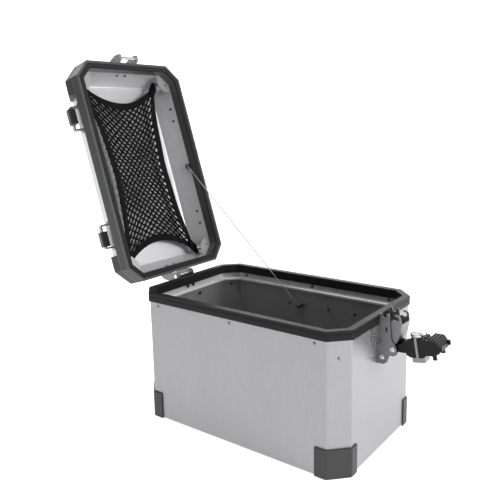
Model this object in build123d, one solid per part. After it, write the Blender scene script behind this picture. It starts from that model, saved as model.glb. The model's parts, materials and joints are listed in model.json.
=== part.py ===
"""Aluminium top case for a motorcycle: octagonal case, lid hinged on one short side, two hook latches.

Frame: +Z up, origin at the centre of the case floor's underside, +X along the case towards the
opening latch, +Y across it. Millimetres. The lid is drawn shut and then swung open about its rod.
"""
import os
from math import asin, cos, radians, sin, sqrt

from build123d import *

# Driving dimensions
LENGTH = 450.0          # over the rims, along X
WIDTH = 280.0           # over the rims, along Y
CHAMFER = 31.0          # each corner is cut off by this much
CASE_HEIGHT = 250.0     # floor underside to the top of the case rim
LID_DEPTH = 69.0        # lid's front edge to the outside of its top panel
SHEET = 1.5             # aluminium sheet thickness
SHEET_INSET = 2.5       # how far the case sheet stands inside the rim's outer face
LID_TOP_INSET = 28.0    # how far the lid's top edge stands inside the rim's outer face
CASE_RIM_WIDTH = 13.0
CASE_RIM_OUTER_LEG = 16.0
CASE_RIM_INNER_LEG = 17.0
CASE_RIM_TOP = 3.5
LID_LIP_WIDTH = 5.0     # the lid rim's narrow front lip, with the seal's channel inside it
LID_RIM_WIDTH = 15.5
LID_RIM_HEIGHT = 21.0
LID_GAP = 1.0           # between the two rims when the lid is shut
SEAL_CHANNEL = 2.5      # depth of the seal's channel in the lid rim
GUSSET_LOW = 20.0       # the net brackets rest on the lid rim's inner leg
OPEN_ANGLE = 107.0      # lid held here by its cable
HOOK_SWING = 16.5       # how far a hook swings out to let go of its rod
LEVER_SWING = 100.0     # a latch lever's travel, from hanging down to fully out

# Hinge and striker rods: one at each short end, level with the top of the case rim
ROD_REACH = LENGTH / 2 + 10.0
ROD_RADIUS = 3.2
HINGE = (-ROD_REACH, 0.0, CASE_HEIGHT)

# Latch pins, as distance from the case's centre and height from the top of the case rim
HOOK_PIVOT = (232.0, -72.0)
LEVER_PIVOT = (250.0, -55.0)
PIN_RADIUS = 3.0
PIN_CLEARANCE = 0.05

WALL_OUT = LENGTH / 2 - SHEET_INSET     # outside of the short wall's sheet
SIDE_OUT = WIDTH / 2 - SHEET_INSET      # outside of the long wall's sheet
LID_BASE = CASE_HEIGHT + LID_GAP        # height of the lid's front edge when shut
WALL_FOOT = 4.0                         # the lid sheet starts this far above the lid's front edge
LID_SLOPE = (LID_TOP_INSET - SHEET_INSET) / (LID_DEPTH - WALL_FOOT)

os.makedirs("parts", exist_ok=True)
nodes = {}


# ---------------------------------------------------------------- shared shapes

def outline(inset, corner_radius):
    """Octagonal plan of the case, moved inwards by inset, with slightly rounded corners."""
    a = LENGTH / 2 - inset
    b = WIDTH / 2 - inset
    c = CHAMFER - (2 - sqrt(2)) * inset
    points = [(a, b - c), (a - c, b), (c - a, b), (-a, b - c),
              (-a, c - b), (c - a, -b), (a - c, -b), (a, c - b)]
    face = make_face(Polyline(*points, close=True))
    return fillet(face.vertices(), corner_radius)


def prism(inset, low, high, corner_radius=4.0):
    return Pos(0, 0, low) * extrude(outline(inset, corner_radius), high - low)


def ring(outer, inner, low, high, corner_radius=4.0):
    inner_radius = max(corner_radius - (inner - outer), 1.0)
    return prism(outer, low, high, corner_radius) - prism(inner, low - 1, high + 1, inner_radius)


def lid_inset(depth):
    """How far the lid's sloped sheet stands inside the rim's outer face, at a depth above its front edge."""
    return SHEET_INSET + LID_SLOPE * (depth - WALL_FOOT)


def lid_block(extra, low, high):
    """Solid with the lid's sloped sides moved inwards by extra, between two depths."""
    base = Pos(0, 0, LID_BASE + low) * outline(lid_inset(low) + extra, 3.0)
    top = Pos(0, 0, LID_BASE + high) * outline(lid_inset(high) + extra, 3.0)
    return loft([base.face(), top.face()], ruled=True)


def rod(start, end, radius):
    start, end = Vector(*start), Vector(*end)
    plane = Plane(origin=start, z_dir=end - start)
    return extrude(plane * Circle(radius), (end - start).length)


def plate(points, low, high):
    """Plate cut to an (x, z) outline, between two y values."""
    face = make_face(Polyline(*points, close=True))
    return Pos(0, high, 0) * (Plane.XZ * extrude(face, high - low))


def both_ends(shape):
    """The same shape at the opening end (+X) and turned round for the hinge end (-X)."""
    return {"opening": shape, "hinge": Rot(0, 0, 180) * shape}


def four_ways(shape):
    """One solid in each corner of the plan."""
    mirrored = mirror(shape, Plane.XZ)
    return [shape, mirrored, mirror(shape, Plane.YZ), mirror(mirrored, Plane.YZ)]


def rivet(at, outwards, grip, head_radius=3.2, shank_radius=2.0):
    """Domed rivet: head on the surface at `at`, shank and flat tail behind it, across `grip` of metal."""
    head_height = 1.6
    tail_height = 1.2
    dome_radius = (head_radius ** 2 + head_height ** 2) / (2 * head_height)
    half = asin(head_radius / dome_radius) / 2
    shoulder = (dome_radius * sin(half), grip + head_height - dome_radius * (1 - cos(half)))
    tail_radius = head_radius * 0.9
    side = Polyline((0, -tail_height), (tail_radius, -tail_height), (tail_radius, 0), (shank_radius, 0),
                    (shank_radius, grip), (head_radius, grip))
    dome = ThreePointArc((head_radius, grip), shoulder, (0, grip + head_height))
    spine = Line((0, grip + head_height), (0, -tail_height))
    solid = revolve(Plane.XZ * make_face(side + dome + spine), Axis.Z)
    outwards = Vector(*outwards).normalized()
    base = Vector(*at) - outwards * grip
    return Plane(origin=base, z_dir=outwards) * solid


def save(name, shapes):
    """Keep a piece, or a group of alike pieces, under its node name."""
    shapes = shapes if isinstance(shapes, list) else [shapes]
    solids = [solid for shape in shapes for solid in shape.solids()]
    nodes[name] = solids


def bored(shape, drills):
    for drill in drills:
        shape = shape - drill
    return shape


def drill(at, outwards, radius, reach=12.0):
    outwards = Vector(*outwards).normalized()
    return rod(Vector(*at) - outwards * reach, Vector(*at) + outwards * reach, radius)


# ---------------------------------------------------------------- fastener places

RIVET_SHANK = 2.0
BOLT_SHANK = 2.5
FLANGE_SHEET = 2.0      # inner reinforcing band

# Rivets through the long walls and the reinforcing band, just under the rim
BAND_RIVET_X = (-172.0, 0.0, 172.0)
BAND_RIVET_Z = CASE_HEIGHT - 23.5
band_rivets = []
for side in (-1, 1):
    for x in BAND_RIVET_X:
        band_rivets.append(((x, side * SIDE_OUT, BAND_RIVET_Z), (0, side, 0)))

# Rivets low on the far wall, on the corner faces and behind the latches
wall_rivets = []
for x in (-57.5, 38.0, 98.0):
    wall_rivets.append(((x, SIDE_OUT, CASE_HEIGHT - 67.0), (0, 1, 0)))
corner_in = CHAMFER / 2 + SHEET_INSET / sqrt(2)
corner_mid = (LENGTH / 2 - corner_in, WIDTH / 2 - corner_in)
for sx in (-1, 1):
    for sy in (-1, 1):
        at = (sx * corner_mid[0], sy * corner_mid[1], CASE_HEIGHT - 45.0)
        wall_rivets.append((at, (sx, sy, 0)))

# Bolts that hold each latch base to the short wall
BASE_PLATE = 2.0
BASE_FACE = WALL_OUT + BASE_PLATE
BASE_BOLTS = [(-38.0, -32.3), (-30.0, -46.0), (38.0, -32.3),
              (30.0, -46.0), (-8.0, -21.2), (8.0, -21.2)]

# Holes in the floor for the rack's adapter plate
RACK_HOLE_X = 100.0
RACK_HOLE_Y = 56.0
RACK_HOLE_RADIUS = 3.3


# ---------------------------------------------------------------- case

def make_case_shell():
    top = CASE_HEIGHT - CASE_RIM_TOP
    outside = prism(SHEET_INSET, 0, top, 5.0)
    outside = fillet(outside.faces().sort_by(Axis.Z)[0].edges(), 5.0)
    inside = prism(SHEET_INSET + SHEET, SHEET, top + 1, 3.5)
    inside = fillet(inside.faces().sort_by(Axis.Z)[0].edges(), 3.5)
    shell = outside - inside
    for y in (-84.0, -28.0, 28.0, 84.0):
        bead = Pos(0, y, 0) * extrude(SlotOverall(330, 13), SHEET + 2.0)
        groove = Pos(0, y, 0) * extrude(SlotOverall(327, 10), 2.0)
        shell = shell + bead - groove
    for x in (-RACK_HOLE_X, RACK_HOLE_X):
        for y in (-RACK_HOLE_Y, RACK_HOLE_Y):
            shell = shell - Pos(x, y, 0) * Cylinder(RACK_HOLE_RADIUS, 20)
    drills = [drill(at, out, RIVET_SHANK) for at, out in band_rivets + wall_rivets]
    for sign in (-1, 1):
        for y, z in BASE_BOLTS:
            drills.append(drill((sign * WALL_OUT, sign * y, CASE_HEIGHT + z), (sign, 0, 0), BOLT_SHANK))
    return bored(shell, drills)


def make_case_rim():
    """Black edge profile that caps the sheet: outer leg, flat top, inner leg."""
    z = CASE_HEIGHT
    sheet_inside = SHEET_INSET + SHEET
    top = ring(0, CASE_RIM_WIDTH, z - CASE_RIM_TOP, z)
    outer_leg = ring(0, SHEET_INSET, z - CASE_RIM_OUTER_LEG, z - CASE_RIM_TOP)
    inner_leg = ring(CASE_RIM_WIDTH - 2.5, CASE_RIM_WIDTH, z - CASE_RIM_INNER_LEG, z - CASE_RIM_TOP)
    seat = ring(sheet_inside + FLANGE_SHEET, CASE_RIM_WIDTH - 2.0, z - CASE_RIM_TOP - 3.0, z - CASE_RIM_TOP)
    groove = ring(-1, 0.7, z - 6.4, z - 5.2)
    rim = top + outer_leg + inner_leg + seat - groove
    edges = rim.edges().filter_by(lambda e: abs(e.center().Z - z) < 0.01)
    return chamfer(edges, 0.8)


def make_inner_band():
    """Aluminium band inside the mouth, with a rounded bead along its lower edge."""
    z = CASE_HEIGHT
    sheet_inside = SHEET_INSET + SHEET
    band = ring(sheet_inside, sheet_inside + FLANGE_SHEET, z - 36.0, z - CASE_RIM_TOP)
    bead = ring(sheet_inside, sheet_inside + 8.0, z - 36.0, z - 29.0)
    inner_edges = bead.edges().filter_by(
        lambda e: e.bounding_box().size.Z < 0.01 and e.length > 5 and is_inner_edge(e, sheet_inside + 8.0))
    bead = fillet(inner_edges, 3.2)
    drills = [drill(at, out, RIVET_SHANK) for at, out in band_rivets]
    for sign in (-1, 1):
        for y in (-8.0, 8.0):
            drills.append(drill((sign * WALL_OUT, y, CASE_HEIGHT - 21.2), (sign, 0, 0), BOLT_SHANK))
        for y in (-38.0, 38.0):
            wall = sign * (WALL_OUT - SHEET)
            height = CASE_HEIGHT - 32.3
            drills.append(rod((wall + sign, y, height), (wall - sign * 4.6, y, height), 3.5))
    return bored(band + bead, drills)


def is_inner_edge(edge, inset):
    """True for a level edge that runs along the outline with this inset."""
    p = edge.center()
    x, y = abs(p.X), abs(p.Y)
    on_short = abs(x - (LENGTH / 2 - inset)) < 0.6
    on_long = abs(y - (WIDTH / 2 - inset)) < 0.6
    reach = LENGTH / 2 + WIDTH / 2 - CHAMFER - inset * sqrt(2)
    return on_short or on_long or abs(x + y - reach) < 0.9


def corner_zone(long_reach, short_reach, low, high):
    """Block over one corner: past long_reach along X or past short_reach along Y."""
    x0 = long_reach
    y0 = short_reach
    size_x = LENGTH / 2 + 20 - x0
    size_y = WIDTH / 2 + 20 - y0
    return Pos(x0 + size_x / 2, y0 + size_y / 2, (low + high) / 2) * Box(size_x, size_y, high - low)


def make_case_caps():
    """Black plastic guards over the case's bottom corners."""
    height = 52.0
    wrap = ring(0, SHEET_INSET, 0, height, 5.0)
    outer_foot = wrap.faces().sort_by(Axis.Z)[0].outer_wire().edges()
    wrap = chamfer(outer_foot, 1.6)
    guard = wrap & corner_zone(172.0, 92.0, -1, height + 1)
    return four_ways(guard)


# ---------------------------------------------------------------- latches

def make_latch_base():
    """Stainless base: a plate on the short wall with two cheeks that carry both pins and seat the rod."""
    plate_points = [(-45, -17.2), (45, -17.2), (45, -36), (36, -53), (25, -64), (20.5, -86), (-20.5, -86),
                    (-25, -64), (-36, -53), (-45, -36)]
    face = make_face(Polyline(*plate_points, close=True))
    face = fillet(face.vertices(), 4.0)
    back = Pos(WALL_OUT, 0, CASE_HEIGHT) * (Plane.YZ * extrude(face, BASE_PLATE))
    cheek_points = [(BASE_FACE - 1, -84), (235, -84), (241, -80), (245, -68), (254, -62.5), (257.5, -55),
                    (254, -47), (248, -41), (245.5, -20), (243.5, 3.5), (226.2, 3.5), (226.2, -17.2),
                    (BASE_FACE - 1, -17.2)]
    cheek = Pos(0, 0, CASE_HEIGHT) * plate(cheek_points, 18.5, 20.5)
    for k in range(3):
        cheek = cheek + Pos(233, 20.6, CASE_HEIGHT - 77.6 - 2.1 * k) * Box(11 - 1.5 * k, 0.8, 1.0)
    seat_gap = ROD_RADIUS + 0.5
    seat = rod((ROD_REACH, 0, CASE_HEIGHT), (ROD_REACH, 30, CASE_HEIGHT), seat_gap)
    mouth = Pos(ROD_REACH, 15, CASE_HEIGHT + 5) * Box(2 * seat_gap, 30, 10)
    pins = [rod((x, 0, CASE_HEIGHT + z), (x, 30, CASE_HEIGHT + z), PIN_RADIUS)
            for x, z in (HOOK_PIVOT, LEVER_PIVOT)]
    slots = [Pos(239, 19.5, CASE_HEIGHT - 24) * Box(3.5, 10, 9),
             Pos(229.5, 19.5, CASE_HEIGHT - 45) * Box(3, 10, 7)]
    cheek = bored(cheek, [seat, mouth] + pins + slots)
    base = back + cheek + mirror(cheek, Plane.XZ)
    drills = [drill((BASE_FACE, y, CASE_HEIGHT + z), (1, 0, 0), BOLT_SHANK) for y, z in BASE_BOLTS]
    return bored(base, drills)


def make_latch_bolts():
    """Button-head bolts of one latch base, each with a nut inside the case."""
    bolts = []
    for y, z in BASE_BOLTS:
        height = CASE_HEIGHT + z
        inside = WALL_OUT - SHEET
        if abs(y) == 8.0:
            inside = inside - FLANGE_SHEET
        shank = rod((inside - 4.0, y, height), (BASE_FACE, y, height), BOLT_SHANK)
        head = rod((BASE_FACE, y, height), (BASE_FACE + 2.0, y, height), 3.8)
        head = fillet(head.faces().sort_by(Axis.X)[-1].edges(), 1.4)
        socket_plane = Plane(origin=(BASE_FACE + 0.8, y, height), z_dir=(1, 0, 0))
        socket = socket_plane * extrude(RegularPolygon(1.5, 6), 3)
        nut = rod((inside - 3.5, y, height), (inside, y, height), 3.4)
        bolts.append(shank + head + nut - socket)
    return bolts


def make_hook():
    """Folded hook, drawn closed: two side flanges with open jaws round the rod, joined by a front web."""
    jaw_out = 7.0
    jaw_in = ROD_RADIUS + 0.5
    side_points = [(227.5, -6.4), (226.4, -16), (226.4, -76), (229, -79.5), (236, -79.5), (238.3, -74),
                   (237.5, -58), (240, -48), (247, -38), (248, -26), (245.5, -6), (241.4, 2.6), (235, 4)]
    side = plate(side_points, 15.3, 17.3)
    jaw = rod((ROD_REACH, 15.3, 0), (ROD_REACH, 17.3, 0), jaw_out)
    side = side + jaw
    side = side - rod((ROD_REACH, 10, 0), (ROD_REACH, 20, 0), jaw_in)
    side = side - Pos(ROD_REACH - 8, 16, 0) * Box(16, 10, 2 * jaw_in)
    x, z = HOOK_PIVOT
    side = side - rod((x, 10, z), (x, 20, z), PIN_RADIUS + PIN_CLEARANCE)
    web_points = [(243.6, -7), (245.5, -6), (248, -26), (247, -38), (240, -48),
                  (238.4, -46.6), (245, -37.4), (246, -26)]
    web = plate(web_points, -15.3, 15.3)
    return Pos(0, 0, CASE_HEIGHT) * (side + mirror(side, Plane.XZ) + web)


def make_lever():
    """Black lever that works the latch. Drawn hanging down; its narrow neck turns on the pin."""
    px, pz = LEVER_PIVOT
    neck_points = [(px - 5.5, pz), (px - 3.5, pz + 4.3), (px + 3, pz + 4.3), (px + 4.8, pz),
                   (px + 10, pz - 24), (px - 8, pz - 24)]
    neck = plate(neck_points, -14.3, 14.3)
    saddle_points = [(px - 10, pz - 22), (px + 10, pz - 22), (px + 17, pz - 30), (px + 17, pz - 52),
                     (px + 8, pz - 57), (px - 10, pz - 57), (px - 14, pz - 50), (px - 14, pz - 28)]
    saddle = plate(saddle_points, -16.5, 16.5)
    saddle = fillet(saddle.edges().filter_by(Axis.Y), 2.6)
    grip_points = [(px - 8, pz - 55), (px + 9, pz - 55), (px + 17, pz - 60), (px + 15, pz - 76),
                   (px + 4, pz - 82), (px - 5, pz - 80), (px - 9, pz - 68)]
    grip = plate(grip_points, -20.5, 20.5)
    grip = fillet(grip.edges().filter_by(Axis.Y), 2.4)
    lever = neck + saddle + grip
    for x, z in ((16.5, -63), (16.0, -68), (15.5, -73)):
        lever = lever + Pos(px + x, 0, pz + z) * Box(3.4, 35, 1.8)
    for y in (-18.2, 18.2):
        lever = lever + Pos(px - 10, y, pz - 71) * Box(11, 4.6, 6)
        lever = lever + Pos(px + 3, y, pz - 82) * Box(8, 4.6, 6)
    barrel_well = rod((px - 4, 0, pz - 41), (px + 30, 0, pz - 41), 12.0)
    band_well = Pos(px + 1.5, 0, pz - 41) * (Box(60, 60, 4.2) - Box(28.8, 29.2, 8))
    tongue_well = Pos(px - 17, 0, pz - 39) * Box(16.2, 20.4, 22.4)
    pin = rod((px, -30, pz), (px, 30, pz), PIN_RADIUS + PIN_CLEARANCE)
    return Pos(0, 0, CASE_HEIGHT) * bored(lever, [barrel_well, band_well, tongue_well, pin])


def make_lock_band():
    """Metal band bent round the lever's waist, over the lock barrel's middle."""
    px, pz = LEVER_PIVOT
    outside = Box(34.6, 34.6, 4.0)
    outside = fillet(outside.edges().filter_by(Axis.Z), 1.0)
    band = outside - Box(29.0, 29.4, 8)
    barrel = rod((px - 6, 0, pz - 41), (px + 40, 0, pz - 41), 12.2)
    tongue = Pos(px - 17, 0, pz - 39) * Box(16.2, 20.4, 22.4)
    return Pos(0, 0, CASE_HEIGHT) * bored(Pos(px + 1.5, 0, pz - 41) * band, [barrel, tongue])


def make_lock_barrel():
    """Metal lock body let into the lever's face, with a raised ring and a hole for the key core."""
    px, pz = LEVER_PIVOT
    face = px + 17
    body = rod((px - 4, 0, pz - 41), (face, 0, pz - 41), 12.0)
    neck = rod((face - 1, 0, pz - 41), (face + 3, 0, pz - 41), 12.0)
    bezel = rod((face + 2, 0, pz - 41), (face + 7, 0, pz - 41), 13.8)
    bezel = fillet(bezel.faces().sort_by(Axis.X)[-1].edges(), 2.0)
    core = rod((px + 2, 0, pz - 41), (face + 20, 0, pz - 41), 7.0 + PIN_CLEARANCE)
    return Pos(0, 0, CASE_HEIGHT) * (body + neck + bezel - core)


def make_lock_core():
    px, pz = LEVER_PIVOT
    core = rod((px + 2.2, 0, pz - 41), (px + 25.0, 0, pz - 41), 7.0)
    core = chamfer(core.faces().sort_by(Axis.X)[-1].edges(), 0.6)
    key_slot = Pos(px + 22, 0, pz - 41) * Box(9, 1.6, 8.0)
    return Pos(0, 0, CASE_HEIGHT) * (core - key_slot)


def make_lock_tongue():
    """Metal catch block let into the back of the lever, where the lock's cam turns."""
    px, pz = LEVER_PIVOT
    tongue = Pos(px - 17, 0, pz - 39) * Box(16, 20, 22)
    tongue = chamfer(tongue.faces().sort_by(Axis.X)[0].edges(), 1.2)
    return Pos(0, 0, CASE_HEIGHT) * tongue


def make_pin(pivot):
    """Latch pin across both cheeks, with a small domed head at each end."""
    x, z = pivot[0], CASE_HEIGHT + pivot[1]
    shaft = rod((x, -20.6, z), (x, 20.6, z), PIN_RADIUS)
    heads = []
    for sign in (-1, 1):
        head = rod((x, sign * 20.5, z), (x, sign * 22.4, z), PIN_RADIUS + 1.3)
        tip = head.faces().sort_by(Axis.Y)[-1 if sign > 0 else 0]
        heads.append(fillet(tip.edges(), 1.2))
    return shaft + heads[0] + heads[1]


def make_hook_spring():
    """Torsion spring on the hook pin, between the flanges: a sleeve of the coil's outer size."""
    x, z = HOOK_PIVOT[0], CASE_HEIGHT + HOOK_PIVOT[1]
    coil = rod((x, -9, z), (x, 9, z), 5.0) - rod((x, -12, z), (x, 12, z), PIN_RADIUS + 0.3)
    return coil


# ---------------------------------------------------------------- lid, drawn shut

def make_lid_shell(drills):
    outside = lid_block(0, WALL_FOOT, LID_DEPTH)
    outside = fillet(outside.faces().sort_by(Axis.Z)[-1].edges(), 4.0)
    wall = SHEET * sqrt(1 + LID_SLOPE ** 2)
    inside = lid_block(wall, WALL_FOOT - 2, LID_DEPTH - SHEET)
    inside = fillet(inside.faces().sort_by(Axis.Z)[-1].edges(), 3.0)
    return bored(outside - inside, drills)


def make_lid_rim():
    """Dark edge profile: a front lip, a channel for the seal, and slots for the lid's sloped sheet."""
    wall = SHEET * sqrt(1 + LID_SLOPE ** 2)
    outer_part = ring(0, LID_LIP_WIDTH + 5, LID_BASE, LID_BASE + LID_RIM_HEIGHT)
    outer_part = outer_part - lid_block(0, WALL_FOOT, LID_RIM_HEIGHT + 5)
    outer_part = outer_part - prism(LID_LIP_WIDTH, LID_BASE - 1, LID_BASE + WALL_FOOT)
    floor = ring(LID_LIP_WIDTH - 0.5, LID_RIM_WIDTH, LID_BASE + SEAL_CHANNEL, LID_BASE + WALL_FOOT)
    inner_leg = ring(LID_RIM_WIDTH - 2.0, LID_RIM_WIDTH, LID_BASE + SEAL_CHANNEL, LID_BASE + GUSSET_LOW)
    stop = ring(LID_LIP_WIDTH, LID_RIM_WIDTH, LID_BASE + WALL_FOOT - 1, LID_BASE + 8)
    stop = stop & lid_block(wall, 0.0, 20)
    groove = ring(-1, 0.8, LID_BASE + 6.0, LID_BASE + 7.4) + ring(-1, 0.8, LID_BASE + 13.0, LID_BASE + 14.4)
    x, z = LID_ANCHOR
    stud_notch = rod((x, 115, z), (x, 135, z), STUD_COLLAR + 0.2)
    return outer_part + floor + inner_leg + stop - groove - stud_notch


def make_seal():
    seal = ring(LID_LIP_WIDTH, LID_RIM_WIDTH - 0.6, LID_BASE - 0.8, LID_BASE + SEAL_CHANNEL)
    low_edges = seal.edges().filter_by(lambda e: abs(e.center().Z - (LID_BASE - 0.8)) < 0.01)
    return chamfer(low_edges, 1.0)


def make_lid_caps():
    """Black corner blocks: upright outside the rim line, then sloping over the top edge."""
    upright = prism(0, LID_BASE + LID_RIM_HEIGHT, LID_BASE + 40, 5.0)
    low = Pos(0, 0, LID_BASE + 40) * outline(0, 5.0)
    high = Pos(0, 0, LID_BASE + LID_DEPTH + 2.5) * outline(LID_TOP_INSET - 4, 4.0)
    slope = loft([low.face(), high.face()], ruled=True)
    inner = prism(LID_TOP_INSET + 14, LID_BASE + 30, LID_BASE + 90, 3.0)
    block = upright + slope - lid_block(0, WALL_FOOT, LID_DEPTH) - inner
    guard = block & corner_zone(163.0, 86.0, LID_BASE + 10, LID_BASE + 90)
    return four_ways(guard)


STRIKER_FOOT = 2.2


def make_striker():
    """Stainless bracket on the lid's short wall: two ears that hold the rod clear of the rims."""
    ear_points = [(230, -6.5), (240, -6.5), (243, 0), (243.5, 12), (239.5, 26), (236, 36),
                  (229, 43), (209, 44), (216.6, 23.5), (225.6, 23.5), (225.6, 0)]
    ear = plate(ear_points, 21.2, 23.4)
    ear = fillet(ear.edges().filter_by(Axis.Y).sort_by(Axis.X)[-3:], 2.0)
    eye = rod((ROD_REACH, 10, 0), (ROD_REACH, 30, 0), ROD_RADIUS)
    ear = ear - eye
    foot_points = [(lid_wall_x(22.0), 22.0), (lid_wall_x(46.0), 46.0),
                   (lid_wall_x(46.0) + STRIKER_FOOT, 46.0), (lid_wall_x(22.0) + STRIKER_FOOT, 22.0)]
    foot = plate(foot_points, -23.4, 23.4)
    both = ear + mirror(ear, Plane.XZ)
    both = Pos(0, 0, CASE_HEIGHT) * both - lid_block(0, WALL_FOOT, LID_DEPTH)
    return both + Pos(0, 0, LID_BASE) * foot


def lid_wall_x(depth):
    return LENGTH / 2 - lid_inset(depth)


def lid_wall_y(depth):
    return WIDTH / 2 - lid_inset(depth)


def make_striker_rod():
    x, z = ROD_REACH, CASE_HEIGHT
    bar = rod((x, -23.4, z), (x, 23.4, z), ROD_RADIUS)
    ends = [rod((x, sign * 23.4, z), (x, sign * 25.2, z), 3.8) for sign in (-1, 1)]
    return bar + ends[0] + ends[1]


LASHING_X = 121.0
LASHING_DEPTH = 48.0
LASHING_FOOT = 2.5
LASHING_RIVET_X = (-14.0, 14.0)
LASHING_RIVET_Y = 15.0


def long_wall_plane():
    """Plane on the +Y side's sloped lid wall at a loop: x along the case, y down the slope, z proud."""
    normal = Vector(0, 1, LID_SLOPE).normalized()
    origin = (LASHING_X, lid_wall_y(LASHING_DEPTH), LID_BASE + LASHING_DEPTH)
    return Plane(origin=origin, x_dir=(1, 0, 0), z_dir=normal)


def on_long_wall(shape):
    return long_wall_plane() * shape


def lashing_rivet_places():
    places = []
    for x in LASHING_RIVET_X:
        point = long_wall_plane().from_local_coords((x, LASHING_RIVET_Y, LASHING_FOOT))
        for sx in (-1, 1):
            for sy in (-1, 1):
                places.append(((sx * point.X, sy * point.Y, point.Z), (0, sy, LID_SLOPE)))
    return places


def make_lashing_loops():
    """Strap loops for luggage straps, bent from flat bar, one near each end of both sloped long walls."""
    strap = 14.0
    outline_points = [(-29, 0), (-29, LASHING_FOOT), (-24.5, LASHING_FOOT), (-24.5, 18), (24.5, 18),
                      (24.5, LASHING_FOOT), (29, LASHING_FOOT), (29, 0), (21.5, 0), (21.5, 15),
                      (-21.5, 15), (-21.5, 0)]
    face = make_face(Polyline(*outline_points, close=True))
    loop = Pos(0, strap / 2, 0) * (Plane.XZ * extrude(face, strap))
    loop = fillet(loop.edges().filter_by(Axis.Y).group_by(Axis.Z)[-1], 3.0)
    return four_ways(on_long_wall(loop))


def make_lashing_feet():
    """Doubling plates under the loops, each held by two rivets."""
    foot = Pos(0, 6, LASHING_FOOT / 2) * Box(42, 30, LASHING_FOOT)
    foot = fillet(foot.edges().filter_by(Axis.Z), 4.0)
    foot = bored(foot, [Pos(x, LASHING_RIVET_Y, 0) * Cylinder(RIVET_SHANK, 20) for x in LASHING_RIVET_X])
    return four_ways(on_long_wall(foot))


def make_lashing_blocks():
    """Black sleeves round the outer stretch of each loop, nearer its outer end."""
    block = Pos(4.5, 0, 15.0) * Box(30, 19, 14.5)
    block = fillet(block.edges().filter_by(Axis.X), 2.5)
    hollow = Pos(0, 0, 16.5) * Box(60, 14, 3)
    return four_ways(on_long_wall(block - hollow))


GUSSET_SHEET = 1.6


def make_gussets():
    """Corner brackets inside the lid's mouth that anchor the net."""
    depth = GUSSET_LOW + GUSSET_SHEET
    limit = lid_block(SHEET * sqrt(1 + LID_SLOPE ** 2), GUSSET_LOW, depth + 30)
    leaf = Pos(200, 115, LID_BASE + GUSSET_LOW + GUSSET_SHEET / 2) * Box(56, 46, GUSSET_SHEET)
    leaf = leaf - Pos(166, 84, LID_BASE + GUSSET_LOW) * Rot(0, 0, 45) * Box(40, 40, 9)
    hole = Pos(187, 113, LID_BASE + GUSSET_LOW) * Cylinder(4.0, 12)
    return four_ways((leaf & limit) - hole)


NET_DEPTH = 50.0
NET_CORNER = (196.0, 103.0)
NET_WAIST = (153.0, 79.0)
NET_THICKNESS = 2.0


def make_net():
    """Elastic net stretched across the lid between its four corners, as one thin sheet."""
    cx, cy = NET_CORNER
    wx, wy = NET_WAIST
    edges = [ThreePointArc((cx, cy), (0, wy), (-cx, cy)), ThreePointArc((-cx, cy), (-wx, 0), (-cx, -cy)),
             ThreePointArc((-cx, -cy), (0, -wy), (cx, -cy)), ThreePointArc((cx, -cy), (wx, 0), (cx, cy))]
    face = make_face(edges[0] + edges[1] + edges[2] + edges[3])
    return Pos(0, 0, LID_BASE + NET_DEPTH - NET_THICKNESS / 2) * extrude(face, NET_THICKNESS)


def make_net_hooks():
    """Hooks between the brackets and the net's corners."""
    low = LID_BASE + GUSSET_LOW + GUSSET_SHEET
    x, y = NET_CORNER[0] - 3.0, NET_CORNER[1] - 3.0
    stem = rod((x, y, low), (x, y, LID_BASE + NET_DEPTH - NET_THICKNESS / 2), 2.2)
    return four_ways(stem)


# ---------------------------------------------------------------- lid cable

CABLE_RADIUS = 0.9
CABLE_PLANE = 120.5                     # the cable runs at this y, clear of both rims
CASE_ANCHOR = (-25.0, CASE_HEIGHT - 66.0)
LID_ANCHOR = (-3.0, LID_BASE + 23.0)    # on the shut lid
LUG_LENGTH = 15.0
LUG_REACH = 6.0
STUD_COLLAR = 4.6


def swing(point):
    """Where a point (x, z) of the shut lid goes when the lid stands open."""
    dx, dz = point[0] - HINGE[0], point[1] - HINGE[2]
    turn = radians(OPEN_ANGLE)
    return (HINGE[0] + dx * cos(turn) - dz * sin(turn), HINGE[2] + dx * sin(turn) + dz * cos(turn))


def open_lid(shape):
    """Swing a piece of the shut lid to its open place, about the hinge rod."""
    axis = Axis(HINGE, (0, 1, 0))
    return shape.rotate(axis, -OPEN_ANGLE)


def cable_ends():
    start = Vector(CASE_ANCHOR[0], CABLE_PLANE, CASE_ANCHOR[1])
    x, z = swing(LID_ANCHOR)
    end = Vector(x, CABLE_PLANE, z)
    return start, end


def make_lug(centre, towards):
    """Crimped eye at a cable's end, round its stud."""
    direction = (towards - centre).normalized()
    eye = rod(centre - Vector(0, 1.2, 0), centre + Vector(0, 1.2, 0), 6.0)
    eye = eye - rod(centre - Vector(0, 3, 0), centre + Vector(0, 3, 0), 3.0)
    crimp = rod(centre + direction * (LUG_REACH - 1.0), centre + direction * (LUG_REACH + LUG_LENGTH), 2.3)
    return eye + crimp


def make_stud(centre, wall_y):
    """Stud that stands on the wall and carries a cable eye between two collars."""
    x, z = centre.X, centre.Z
    post = rod((x, centre.Y - 4.0, z), (x, wall_y, z), 2.9)
    collar = rod((x, centre.Y + 1.4, z), (x, wall_y, z), STUD_COLLAR)
    head = rod((x, centre.Y - 4.2, z), (x, centre.Y - 1.4, z), 4.7)
    head = fillet(head.faces().sort_by(Axis.Y)[0].edges(), 1.2)
    return post + collar + head


# ---------------------------------------------------------------- assembly

def build_case():
    save("case_shell", make_case_shell())
    save("case_rim", make_case_rim())
    save("inner_band", make_inner_band())
    save("case_corner_guards", make_case_caps())
    save("band_rivets", [rivet(at, out, SHEET + FLANGE_SHEET) for at, out in band_rivets])
    save("wall_rivets", [rivet(at, out, SHEET) for at, out in wall_rivets])


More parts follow.
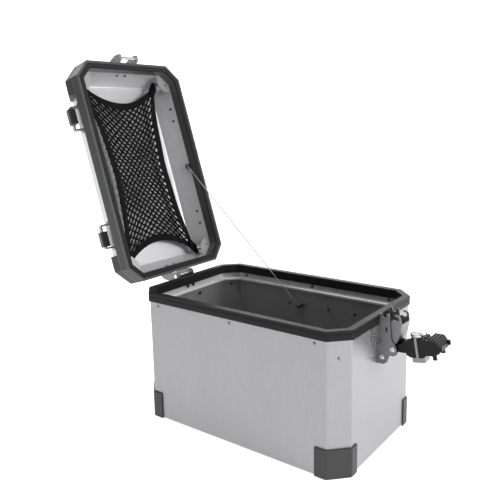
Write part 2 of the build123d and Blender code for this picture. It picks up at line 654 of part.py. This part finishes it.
def build_latches():
    lever_axis = Axis((LEVER_PIVOT[0], 0, CASE_HEIGHT + LEVER_PIVOT[1]), (0, 1, 0))
    hook_axis = Axis((HOOK_PIVOT[0], 0, CASE_HEIGHT + HOOK_PIVOT[1]), (0, 1, 0))
    fixed = {"latch_base": make_latch_base(), "latch_bolts": make_latch_bolts(),
             "hook_pin": make_pin(HOOK_PIVOT), "lever_pin": make_pin(LEVER_PIVOT),
             "hook_spring": make_hook_spring()}
    levers = {"latch_lever": make_lever(), "lock_barrel": make_lock_barrel(), "lock_band": make_lock_band(),
              "lock_core": make_lock_core(), "lock_tongue": make_lock_tongue()}
    hook = make_hook()
    for name, shape in fixed.items():
        group = shape if isinstance(shape, list) else [shape]
        save("opening_" + name, group)
        save("hinge_" + name, [Rot(0, 0, 180) * piece for piece in group])
    for name, shape in levers.items():
        save("opening_" + name, shape.rotate(lever_axis, -LEVER_SWING))
        save("hinge_" + name, Rot(0, 0, 180) * shape)
    save("opening_hook", hook.rotate(hook_axis, HOOK_SWING))
    save("hinge_hook", Rot(0, 0, 180) * hook)


def build_lid():
    striker_rivets = []
    for sign in (-1, 1):
        for y in (-11.0, 11.0):
            at = (sign * (lid_wall_x(34.0) + STRIKER_FOOT), y, LID_BASE + 34.0)
            striker_rivets.append((at, (sign, 0, LID_SLOPE)))
    lashing_rivets = lashing_rivet_places()
    drills = [drill(at, out, RIVET_SHANK, 6.0) for at, out in striker_rivets + lashing_rivets]
    pieces = {
        "lid_shell": [make_lid_shell(drills)],
        "lid_rim": [make_lid_rim()],
        "lid_seal": [make_seal()],
        "lid_corner_guards": make_lid_caps(),
        "lashing_loops": make_lashing_loops(),
        "lashing_feet": make_lashing_feet(),
        "lashing_sleeves": make_lashing_blocks(),
        "net_brackets": make_gussets(),
        "net": [make_net()],
        "net_hooks": make_net_hooks(),
    }
    for end, shape in both_ends(bored(make_striker(), drills)).items():
        pieces[end + "_striker"] = [shape]
    for end, shape in both_ends(make_striker_rod()).items():
        pieces[end + "_striker_rod"] = [shape]
    pieces["striker_rivets"] = [rivet(at, out, SHEET + STRIKER_FOOT) for at, out in striker_rivets]
    pieces["lashing_rivets"] = [rivet(at, out, SHEET + LASHING_FOOT) for at, out in lashing_rivets]
    for name, shapes in pieces.items():
        save(name, [open_lid(shape) for shape in shapes])


def build_cable():
    start, end = cable_ends()
    direction = (end - start).normalized()
    reach = LUG_REACH + LUG_LENGTH
    cable = rod(start + direction * reach, end - direction * reach, CABLE_RADIUS)
    save("lid_cable", cable)
    save("case_cable_lug", make_lug(start, end))
    save("lid_cable_lug", make_lug(end, start))
    save("case_cable_stud", make_stud(start, SIDE_OUT - SHEET))
    shut_end = Vector(LID_ANCHOR[0], CABLE_PLANE, LID_ANCHOR[1])
    stud = make_stud(shut_end, SIDE_OUT) & lid_block(SHEET * sqrt(1 + LID_SLOPE ** 2), WALL_FOOT, 40)
    save("lid_cable_stud", open_lid(stud))
    print("cable radius", CABLE_RADIUS, "length between lugs", round((end - start).length - 2 * reach, 1))


build_case()
build_latches()
build_lid()
build_cable()
for name, solids in nodes.items():
    export_step(Compound(children=solids) if len(solids) > 1 else solids[0], "parts/" + name + ".step")
print(len(nodes), "nodes")
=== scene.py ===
import json
from math import cos, pi, radians, sin, sqrt

import bmesh
import bpy
from mathutils import Matrix, Vector


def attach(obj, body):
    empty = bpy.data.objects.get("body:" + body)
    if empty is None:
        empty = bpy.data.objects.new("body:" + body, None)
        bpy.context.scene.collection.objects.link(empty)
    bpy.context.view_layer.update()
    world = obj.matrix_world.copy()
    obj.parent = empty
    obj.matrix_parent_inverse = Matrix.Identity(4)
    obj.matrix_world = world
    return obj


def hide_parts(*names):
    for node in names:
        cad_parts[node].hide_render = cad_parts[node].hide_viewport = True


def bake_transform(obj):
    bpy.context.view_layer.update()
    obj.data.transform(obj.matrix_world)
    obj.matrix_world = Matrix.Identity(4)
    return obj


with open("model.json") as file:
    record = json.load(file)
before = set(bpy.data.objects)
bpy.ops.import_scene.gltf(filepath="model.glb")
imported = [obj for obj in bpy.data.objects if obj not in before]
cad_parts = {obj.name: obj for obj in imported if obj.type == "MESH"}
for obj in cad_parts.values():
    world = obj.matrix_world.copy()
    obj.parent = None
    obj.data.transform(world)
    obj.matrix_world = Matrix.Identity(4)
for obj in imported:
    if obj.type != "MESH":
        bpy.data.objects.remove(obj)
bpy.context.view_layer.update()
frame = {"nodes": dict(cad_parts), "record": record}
nodes = frame["nodes"]

HINGE = Vector((-0.235, 0.0, 0.250))
OPEN_ANGLE = 107.0
LID_BASE = 0.251


# ---------------------------------------------------------------- camera, as in the photo

AZIMUTH, ELEVATION, ROLL = 35.8, 10.5, -0.87        # degrees
CAMERA_PLACE = (0.6467, -0.9093, 0.5763)
FOCAL_LENGTH = 44.03
SHIFT_X = -0.04
SHIFT_Y = -0.042        # the picture is moved up, so that the whole case shows
az, el, roll = radians(AZIMUTH), radians(ELEVATION), radians(ROLL)
forward = Vector((-sin(az) * cos(el), cos(az) * cos(el), -sin(el)))
right_level = Vector((cos(az), sin(az), 0))
up_level = right_level.cross(forward)
right = cos(roll) * right_level + sin(roll) * up_level
up = cos(roll) * up_level - sin(roll) * right_level
turn = Matrix((right, up, -forward)).transposed().to_4x4()
camera_data = bpy.data.cameras.new("camera")
camera_data.sensor_width = 36.0
camera_data.lens = FOCAL_LENGTH
camera_data.shift_x = SHIFT_X
camera_data.shift_y = SHIFT_Y
camera = bpy.data.objects.new("camera", camera_data)
camera.matrix_world = Matrix.Translation(CAMERA_PLACE) @ turn
bpy.context.scene.collection.objects.link(camera)
bpy.context.scene.camera = camera


# ---------------------------------------------------------------- materials

def shader(name):
    material = bpy.data.materials.new(name)
    material.use_nodes = True
    tree = material.node_tree
    return material, tree, tree.nodes["Principled BSDF"]


def noise(tree, scale, detail=4.0, stretch=(1, 1, 1), roughness=0.55):
    """Noise value in object coordinates, stretched along the axes."""
    place = tree.nodes.new("ShaderNodeTexCoord")
    mapping = tree.nodes.new("ShaderNodeMapping")
    mapping.inputs["Scale"].default_value = stretch
    texture = tree.nodes.new("ShaderNodeTexNoise")
    texture.inputs["Scale"].default_value = scale
    texture.inputs["Detail"].default_value = detail
    texture.inputs["Roughness"].default_value = roughness
    tree.links.new(place.outputs["Object"], mapping.inputs["Vector"])
    tree.links.new(mapping.outputs["Vector"], texture.inputs["Vector"])
    return texture.outputs["Fac"]


def spread(tree, value, low, high, start=0.3, end=0.7):
    """Map a noise value to a range."""
    node = tree.nodes.new("ShaderNodeMapRange")
    node.inputs["From Min"].default_value = start
    node.inputs["From Max"].default_value = end
    node.inputs["To Min"].default_value = low
    node.inputs["To Max"].default_value = high
    tree.links.new(value, node.inputs["Value"])
    return node.outputs["Result"]


def grey_between(tree, value, low, high, start=0.3, end=0.7):
    ramp = tree.nodes.new("ShaderNodeValToRGB")
    ramp.color_ramp.elements[0].position = start
    ramp.color_ramp.elements[1].position = end
    ramp.color_ramp.elements[0].color = (low, low, low * 1.015, 1)
    ramp.color_ramp.elements[1].color = (high, high, high * 1.015, 1)
    tree.links.new(value, ramp.inputs["Fac"])
    return ramp.outputs["Color"]


def bump(tree, bsdf, value, strength, distance):
    node = tree.nodes.new("ShaderNodeBump")
    node.inputs["Strength"].default_value = strength
    node.inputs["Distance"].default_value = distance
    tree.links.new(value, node.inputs["Height"])
    tree.links.new(node.outputs["Normal"], bsdf.inputs["Normal"])


BROAD_SCALE = 14.0                      # noise scale of the slow tone variation
FINE_SHARE, BROAD_SHARE = 0.55, 0.45    # how the fine grain and the broad variation are mixed


def surface(name, level, rough, metallic, grain=900.0, stretch=(1, 1, 1), vary=0.06, rough_vary=0.08,
            bump_strength=0.15, bump_distance=0.0001, specular=0.5, broad_stretch=(1, 1, 1)):
    """One finish: broad tone variation, fine grain in tone and roughness, and a fine bump."""
    material, tree, bsdf = shader(name)
    broad = noise(tree, BROAD_SCALE, 3.0, broad_stretch)
    fine = noise(tree, grain, 3.0, stretch)
    both = tree.nodes.new("ShaderNodeMath")
    both.operation = "MULTIPLY_ADD"
    both.inputs[1].default_value = FINE_SHARE
    tree.links.new(fine, both.inputs[0])
    share = tree.nodes.new("ShaderNodeMath")
    share.operation = "MULTIPLY"
    share.inputs[1].default_value = BROAD_SHARE
    tree.links.new(broad, share.inputs[0])
    tree.links.new(share.outputs[0], both.inputs[2])
    tone = grey_between(tree, both.outputs[0], level * (1 - vary), level * (1 + vary))
    tree.links.new(tone, bsdf.inputs["Base Color"])
    roughness = spread(tree, both.outputs[0], rough - rough_vary, rough + rough_vary)
    tree.links.new(roughness, bsdf.inputs["Roughness"])
    bsdf.inputs["Metallic"].default_value = metallic
    bsdf.inputs["Specular IOR Level"].default_value = specular
    bump(tree, bsdf, fine, bump_strength, bump_distance)
    return material


def braid(name, level, scale):
    """Woven cord or cable: diagonal bands with a soft bump."""
    material, tree, bsdf = shader(name)
    place = tree.nodes.new("ShaderNodeTexCoord")
    wave = tree.nodes.new("ShaderNodeTexWave")
    wave.bands_direction = "DIAGONAL"
    wave.inputs["Scale"].default_value = scale
    wave.inputs["Distortion"].default_value = 0.6
    tree.links.new(place.outputs["Object"], wave.inputs["Vector"])
    tone = grey_between(tree, wave.outputs["Fac"], level * 0.6, level * 1.3, 0.1, 0.9)
    tree.links.new(tone, bsdf.inputs["Base Color"])
    bump(tree, bsdf, wave.outputs["Fac"], 0.5, 0.0002)
    return material, bsdf


sheet_metal = surface("aluminium_sheet", 0.31, 0.38, 0.80, grain=420.0, stretch=(1, 1, 0.12), vary=0.08,
                      bump_strength=0.10, broad_stretch=(1.6, 1.6, 0.6))
# lid_sheet: the same aluminium as the case sheet, made lighter (0.58 against 0.31) as painted light for the
# key light falling into the open lid
lid_sheet_painted_light = surface("lid_sheet", 0.58, 0.38, 0.60, grain=420.0, stretch=(1, 0.06, 1), vary=0.07,
                    bump_strength=0.10, broad_stretch=(3, 0.2, 3))
# bare_band: aluminium made lighter and less metallic, a painted highlight standing in for the light on the
# rolled bead and the band above it
band_metal_painted_highlight = surface("bare_band", 0.66, 0.33, 0.6, grain=260.0, stretch=(1, 1, 4), vary=0.06)
black_paint = surface("black_profile", 0.010, 0.38, 0.0, grain=700.0, vary=0.25, bump_strength=0.10,
                      specular=0.15)
lid_paint = surface("lid_profile", 0.045, 0.36, 0.0, grain=700.0, vary=0.2, bump_strength=0.10)
black_plastic = surface("black_plastic", 0.020, 0.48, 0.0, grain=1100.0, vary=0.3, bump_strength=0.35)
lever_plastic = surface("lever_plastic", 0.005, 0.34, 0.0, grain=1100.0, vary=0.3, bump_strength=0.25,
                        specular=0.2)
rivet_metal = surface("rivet_metal", 0.20, 0.24, 1.0, grain=600.0, vary=0.12)
stainless = surface("stainless", 0.22, 0.38, 0.75, grain=330.0, stretch=(1, 1, 12), vary=0.12,
                    bump_strength=0.2)
# lighter copy of the stainless: painted light on the opening striker, which is lit, while the hinge striker
# keeps plain stainless; the net brackets use it too
stainless_painted_light = surface("stainless_painted_light", 0.43, 0.34, 0.75, grain=500.0, vary=0.08)
loop_metal = surface("loop_metal", 0.30, 0.36, 1.0, grain=330.0, stretch=(1, 10, 1), vary=0.12,
                     bump_strength=0.2)
pin_steel = surface("pin_steel", 0.72, 0.16, 1.0, grain=500.0, vary=0.08)
lock_metal = surface("lock_metal", 0.55, 0.25, 1.0, grain=400.0, vary=0.10)
catch_metal = surface("catch_metal", 0.24, 0.40, 0.8, grain=400.0, vary=0.10)
seal_foam = surface("seal_rubber", 0.010, 0.75, 0.0, grain=1600.0, vary=0.4, bump_strength=0.6, specular=0.2)
net_braid, net_shader = braid("net_cord", 0.004, 900.0)
net_shader.inputs["Roughness"].default_value = 0.8
net_shader.inputs["Specular IOR Level"].default_value = 0.10
cable_braid, cable_shader = braid("cable_steel", 0.42, 700.0)
cable_shader.inputs["Roughness"].default_value = 0.32
cable_shader.inputs["Metallic"].default_value = 1.0

by_slot = {
    "aluminium_sheet": sheet_metal, "lid_sheet": lid_sheet_painted_light, "bare_band": band_metal_painted_highlight,
    "black_profile": black_paint, "lid_profile": lid_paint, "black_plastic": black_plastic,
    "lever_plastic": lever_plastic, "rivet_metal": rivet_metal, "stainless": stainless,
    "loop_metal": loop_metal, "pin_steel": pin_steel, "lock_metal": lock_metal,
    "seal_rubber": seal_foam, "net_cord": net_braid, "cable_steel": cable_braid,
}
by_node = {
    "opening_striker": stainless_painted_light, "net_brackets": stainless_painted_light,
    "opening_lock_band": catch_metal, "hinge_lock_band": catch_metal,
    "opening_lock_tongue": catch_metal, "hinge_lock_tongue": catch_metal,
}
for part in frame["record"]["subparts"]:
    piece = nodes[part["node"]]
    piece.data.materials.clear()
    piece.data.materials.append(by_node.get(part["node"], by_slot[part["material_slot"]]))


# ---------------------------------------------------------------- the lid's net

swing = Matrix.Rotation(radians(-OPEN_ANGLE), 4, "Y")
open_lid = Matrix.Translation(HINGE) @ swing @ Matrix.Translation(-HINGE)


def lid_point(x, y, depth):
    """A point of the shut lid, in millimetres with depth behind its front edge, where it lies at rest."""
    return open_lid @ Vector((x / 1000, y / 1000, LID_BASE + depth / 1000))


# Millimetres on the shut lid
CORNER_X, CORNER_Y, WAIST_X = 196.0, 103.0, 153.0
NEAR_WAIST_Y, FAR_WAIST_Y = 72.0, 79.0      # the net is pulled in more on the -Y side
NET_DEPTH = 50.0                            # behind the lid's front edge
RIPPLE = 0.7


def net_xy(u, v):
    """Point of the net's curved four-sided outline, with u along the lid and v across it, from 0 to 1."""
    s, t = 2 * u - 1, 2 * v - 1
    waist_y = NEAR_WAIST_Y + (FAR_WAIST_Y - NEAR_WAIST_Y) * v
    edge_y = waist_y + (CORNER_Y - waist_y) * s * s
    edge_x = WAIST_X + (CORNER_X - WAIST_X) * t * t
    return s * edge_x, t * edge_y


def net_point(u, v, lift=0.0):
    x, y = net_xy(u, v)
    ripple = RIPPLE * sin(23 * u + 5 * v) * sin(9 * v + 2)
    return lid_point(x, y, NET_DEPTH - lift + ripple)


ACROSS, ALONG = 11, 23                      # diamonds across and along the net
CORD_RADIUS = 0.00185
KNOT_SWELL, CORD_SLIM = 1.35, 0.95          # cord radius at the knots and between them, as shares
CORD_LIFT = 0.3                             # the two sets of cords lie this much apart from the middle
END_INSET, SIDE_INSET = 0.007, 0.012        # the cords end this share inside the outline, under the hem


def inside(value):
    return -1e-9 <= value <= 1 + 1e-9


net_curve = bpy.data.curves.new("lid_net", "CURVE")
net_curve.dimensions = "3D"
net_curve.bevel_depth = CORD_RADIUS
net_curve.bevel_resolution = 1
for slope in (1, -1):
    for start in range(-2 * ACROSS, 2 * ALONG + 2 * ACROSS, 2):
        line = []
        for step in range(0, 2 * ACROSS + 1):
            v = step / (2 * ACROSS)
            u = (start + slope * step) / (2 * ALONG)
            if inside(u):
                line.append((u, v, step))
        if len(line) < 2:
            continue
        spline = net_curve.splines.new("POLY")
        spline.points.add(len(line) - 1)
        for point, (u, v, step) in zip(spline.points, line):
            along_net = END_INSET + (1 - 2 * END_INSET) * u
            across_net = SIDE_INSET + (1 - 2 * SIDE_INSET) * v
            point.co = (*net_point(along_net, across_net, CORD_LIFT * slope), 1)
            point.radius = KNOT_SWELL if step % 2 == 0 else CORD_SLIM
net = bpy.data.objects.new("lid_net", net_curve)
bpy.context.scene.collection.objects.link(net)
net.data.materials.append(net_braid)
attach(net, "lid")
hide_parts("net")


HEM_STEPS = 120
HEM_STRIPS = 4
HEM_END_WIDTH, HEM_SWELL = 7.0, 9.0         # width at its ends, and how much wider its middle is
HEM_THICKNESS = 0.0014
PUCKER = 0.45
NET_SPAN_X, NET_SPAN_Y = 330.0, 170.0       # the net's rough size, to turn a hem width into a share of it
MOUTH_WAY = Vector((0.96, 0, 0.29))         # the way that the open lid's mouth faces


def hem_mesh():
    """Elastic hem round the net: a flat gathered band along each of its four edges."""
    mesh = bmesh.new()
    sides = [
        lambda t, w: net_point(t, w / NET_SPAN_Y, 0.9), lambda t, w: net_point(t, 1 - w / NET_SPAN_Y, 0.9),
        lambda t, w: net_point(w / NET_SPAN_X, t, 1.1), lambda t, w: net_point(1 - w / NET_SPAN_X, t, 1.1),
    ]
    for side in sides:
        rows = []
        for i in range(HEM_STEPS + 1):
            t = i / HEM_STEPS
            width = HEM_END_WIDTH + HEM_SWELL * sqrt(max(sin(pi * t), 0.0))
            row = []
            for j in range(HEM_STRIPS + 1):
                point = side(t, width * j / HEM_STRIPS)
                pucker = PUCKER * sin(t * 190 + j * 0.7) * (j / HEM_STRIPS)
                row.append(mesh.verts.new(point + MOUTH_WAY * (pucker / 1000)))
            rows.append(row)
        for a, b in zip(rows, rows[1:]):
            for j in range(HEM_STRIPS):
                mesh.faces.new((a[j], a[j + 1], b[j + 1], b[j]))
    bmesh.ops.recalc_face_normals(mesh, faces=mesh.faces)
    data = bpy.data.meshes.new("net_hem")
    mesh.to_mesh(data)
    mesh.free()
    return data


hem = bpy.data.objects.new("net_hem", hem_mesh())
bpy.context.scene.collection.objects.link(hem)
thick = hem.modifiers.new("thick", "SOLIDIFY")
thick.thickness = HEM_THICKNESS
for polygon in hem.data.polygons:
    polygon.use_smooth = True
hem.data.materials.append(net_braid)
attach(hem, "lid")


BUNCH_IN_X, BUNCH_IN_Y = 13.0, 8.0          # from the net's corner to the middle of its gathered cloth
BUNCH_HALF_X, BUNCH_HALF_Y, BUNCH_HALF_DEPTH = 17.0, 10.0, 6.5
BUNCH_DEPTH = 46.0


def bunch_mesh():
    """Gathered cloth at the net's four corners, pulled over the hooks."""
    mesh = bmesh.new()
    for sx in (-1, 1):
        for sy in (-1, 1):
            knot = bmesh.ops.create_icosphere(mesh, subdivisions=4, radius=1.0)
            for vertex in knot["verts"]:
                a, b, c = vertex.co
                fold = 1.0 + 0.16 * sin(9 * a + 4 * b) * sin(8 * b - 3 * c) + 0.07 * sin(21 * a - 13 * c)
                x = sx * (CORNER_X - BUNCH_IN_X + (BUNCH_HALF_X * a + 3.5 * b) * fold)
                y = sy * (CORNER_Y - BUNCH_IN_Y + (BUNCH_HALF_Y * b + 4.5 * a) * fold)
                vertex.co = lid_point(x, y, BUNCH_DEPTH + BUNCH_HALF_DEPTH * c * fold)
    bmesh.ops.recalc_face_normals(mesh, faces=mesh.faces)
    data = bpy.data.meshes.new("net_bunches")
    mesh.to_mesh(data)
    mesh.free()
    for polygon in data.polygons:
        polygon.use_smooth = True
    return data


bunches = bpy.data.objects.new("net_bunches", bunch_mesh())
bpy.context.scene.collection.objects.link(bunches)
bunches.data.materials.append(net_braid)
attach(bunches, "lid")


# ---------------------------------------------------------------- stranded lid cable

CABLE_Y = 0.1205
CASE_STUD = Vector((-0.025, CABLE_Y, 0.184))
LID_STUD = open_lid @ Vector((-0.003, CABLE_Y, LID_BASE + 0.023))
LUG_REACH = 0.021                           # from a stud's centre to where the cable leaves its crimp
STRAND_RADIUS = 0.00086                     # of the tube, whose strands stand a little further out
CABLE_SIDES = 18
CABLE_STEPS = 500
along = (LID_STUD - CASE_STUD).normalized()
cable_start = CASE_STUD + along * LUG_REACH
cable_end = LID_STUD - along * LUG_REACH


def tube_mesh(name, path, radius, sides):
    """Closed tube round a path, with shallow strands twisted along it."""
    mesh = bmesh.new()
    tangent = (path[-1] - path[0]).normalized()
    side = tangent.cross(Vector((0, 1, 0))).normalized()
    other = tangent.cross(side)
    rings = []
    for i, centre in enumerate(path):
        ring = []
        for k in range(sides):
            angle = 2 * pi * k / sides
            strand = 1.0 + 0.07 * cos(6 * (angle - i * 0.42))
            offset = side * cos(angle) + other * sin(angle)
            ring.append(mesh.verts.new(centre + offset * radius * strand))
        rings.append(ring)
    for a, b in zip(rings, rings[1:]):
        for k in range(sides):
            mesh.faces.new((a[k], a[(k + 1) % sides], b[(k + 1) % sides], b[k]))
    mesh.faces.new(rings[0])
    mesh.faces.new(rings[-1])
    bmesh.ops.recalc_face_normals(mesh, faces=mesh.faces)
    data = bpy.data.meshes.new(name)
    mesh.to_mesh(data)
    mesh.free()
    for polygon in data.polygons:
        polygon.use_smooth = True
    return data


cable_path = [cable_start.lerp(cable_end, i / CABLE_STEPS) for i in range(CABLE_STEPS + 1)]
cable_mesh = tube_mesh("lid_cable_strands", cable_path, STRAND_RADIUS, CABLE_SIDES)
cable = bpy.data.objects.new("lid_cable_strands", cable_mesh)
bpy.context.scene.collection.objects.link(cable)
cable.data.materials.append(cable_braid)
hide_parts("lid_cable")
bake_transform(cable)


# ---------------------------------------------------------------- hook springs

HOOK_PIN_X, HOOK_PIN_Z = 0.232, 0.178
COIL_RADIUS, WIRE_RADIUS, COIL_LENGTH = 0.0042, 0.0007, 0.017
COIL_TURNS, COIL_STEPS = 9, 14              # turns, and steps in each turn


def coil(name, centre_x, body, replaced):
    """Torsion spring's coil round a hook pin."""
    curve = bpy.data.curves.new(name, "CURVE")
    curve.dimensions = "3D"
    curve.bevel_depth = WIRE_RADIUS
    curve.bevel_resolution = 2
    spline = curve.splines.new("POLY")
    spline.points.add(COIL_TURNS * COIL_STEPS)
    for i, point in enumerate(spline.points):
        angle = 2 * pi * i / COIL_STEPS
        y = -COIL_LENGTH / 2 + COIL_LENGTH * i / (COIL_TURNS * COIL_STEPS)
        x = centre_x + COIL_RADIUS * cos(angle)
        z = HOOK_PIN_Z + COIL_RADIUS * sin(angle)
        point.co = (x, y, z, 1)
    spring = bpy.data.objects.new(name, curve)
    bpy.context.scene.collection.objects.link(spring)
    spring.data.materials.append(pin_steel)
    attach(spring, body)
    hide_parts(replaced)


coil("opening_spring_wire", HOOK_PIN_X, "case", "opening_hook_spring")
coil("hinge_spring_wire", -HOOK_PIN_X, "case", "hinge_hook_spring")


# ---------------------------------------------------------------- floor and light

def flat_material(name, level, glow):
    material, tree, bsdf = shader(name)
    value = noise(tree, 3.0, 2.0)
    tone = grey_between(tree, value, level * 0.99, level)
    tree.links.new(tone, bsdf.inputs["Base Color"])
    bsdf.inputs["Emission Color"].default_value = (1, 1, 1, 1)
    bsdf.inputs["Emission Strength"].default_value = glow
    bsdf.inputs["Roughness"].default_value = 0.9
    return material


FLOOR_SIZE, BACKDROP_SIZE, BACKDROP_AWAY = 24.0, 22.0, 6.0
bpy.ops.mesh.primitive_plane_add(size=FLOOR_SIZE, location=(0, 0, -0.0005))
floor = bpy.context.object
floor.name = "floor"
floor.data.materials.append(flat_material("floor", 0.6, 0.80))

level_forward = Vector((forward.x, forward.y, 0)).normalized()
bpy.ops.mesh.primitive_plane_add(size=BACKDROP_SIZE, location=level_forward * BACKDROP_AWAY,
                                 rotation=(pi / 2, 0, az))
backdrop = bpy.context.object
backdrop.name = "backdrop"
backdrop.data.materials.append(flat_material("backdrop", 0.9, 1.05))

bpy.context.scene.view_settings.view_transform = "Standard"
bpy.context.scene.view_settings.look = "None"
world = bpy.data.worlds.new("studio")
bpy.context.scene.world = world
world.use_nodes = True
background = world.node_tree.nodes["Background"]
background.inputs["Color"].default_value = (1, 1, 1, 1)
background.inputs["Strength"].default_value = 0.25


def softbox(name, location, target, size, power):
    data = bpy.data.lights.new(name, "AREA")
    data.shape = "RECTANGLE"
    data.size = size[0]
    data.size_y = size[1]
    data.energy = power
    light = bpy.data.objects.new(name, data)
    light.location = location
    light.rotation_euler = (Vector(target) - Vector(location)).to_track_quat("-Z", "Y").to_euler()
    bpy.context.scene.collection.objects.link(light)
    light.visible_camera = False


softbox("key_right", (2.6, 0.5, 1.3), (0, 0, 0.25), (1.2, 1.2), 90)
softbox("fill_front", (-0.6, -2.4, 1.3), (0, 0, 0.2), (1.8, 1.2), 3)
softbox("top", (0.1, -0.9, 2.2), (0, 0.1, 0.2), (1.2, 1.2), 17)
softbox("upper_left", (-1.3, -0.4, 2.2), (0, 0.1, 0.2), (1.4, 1.4), 15)
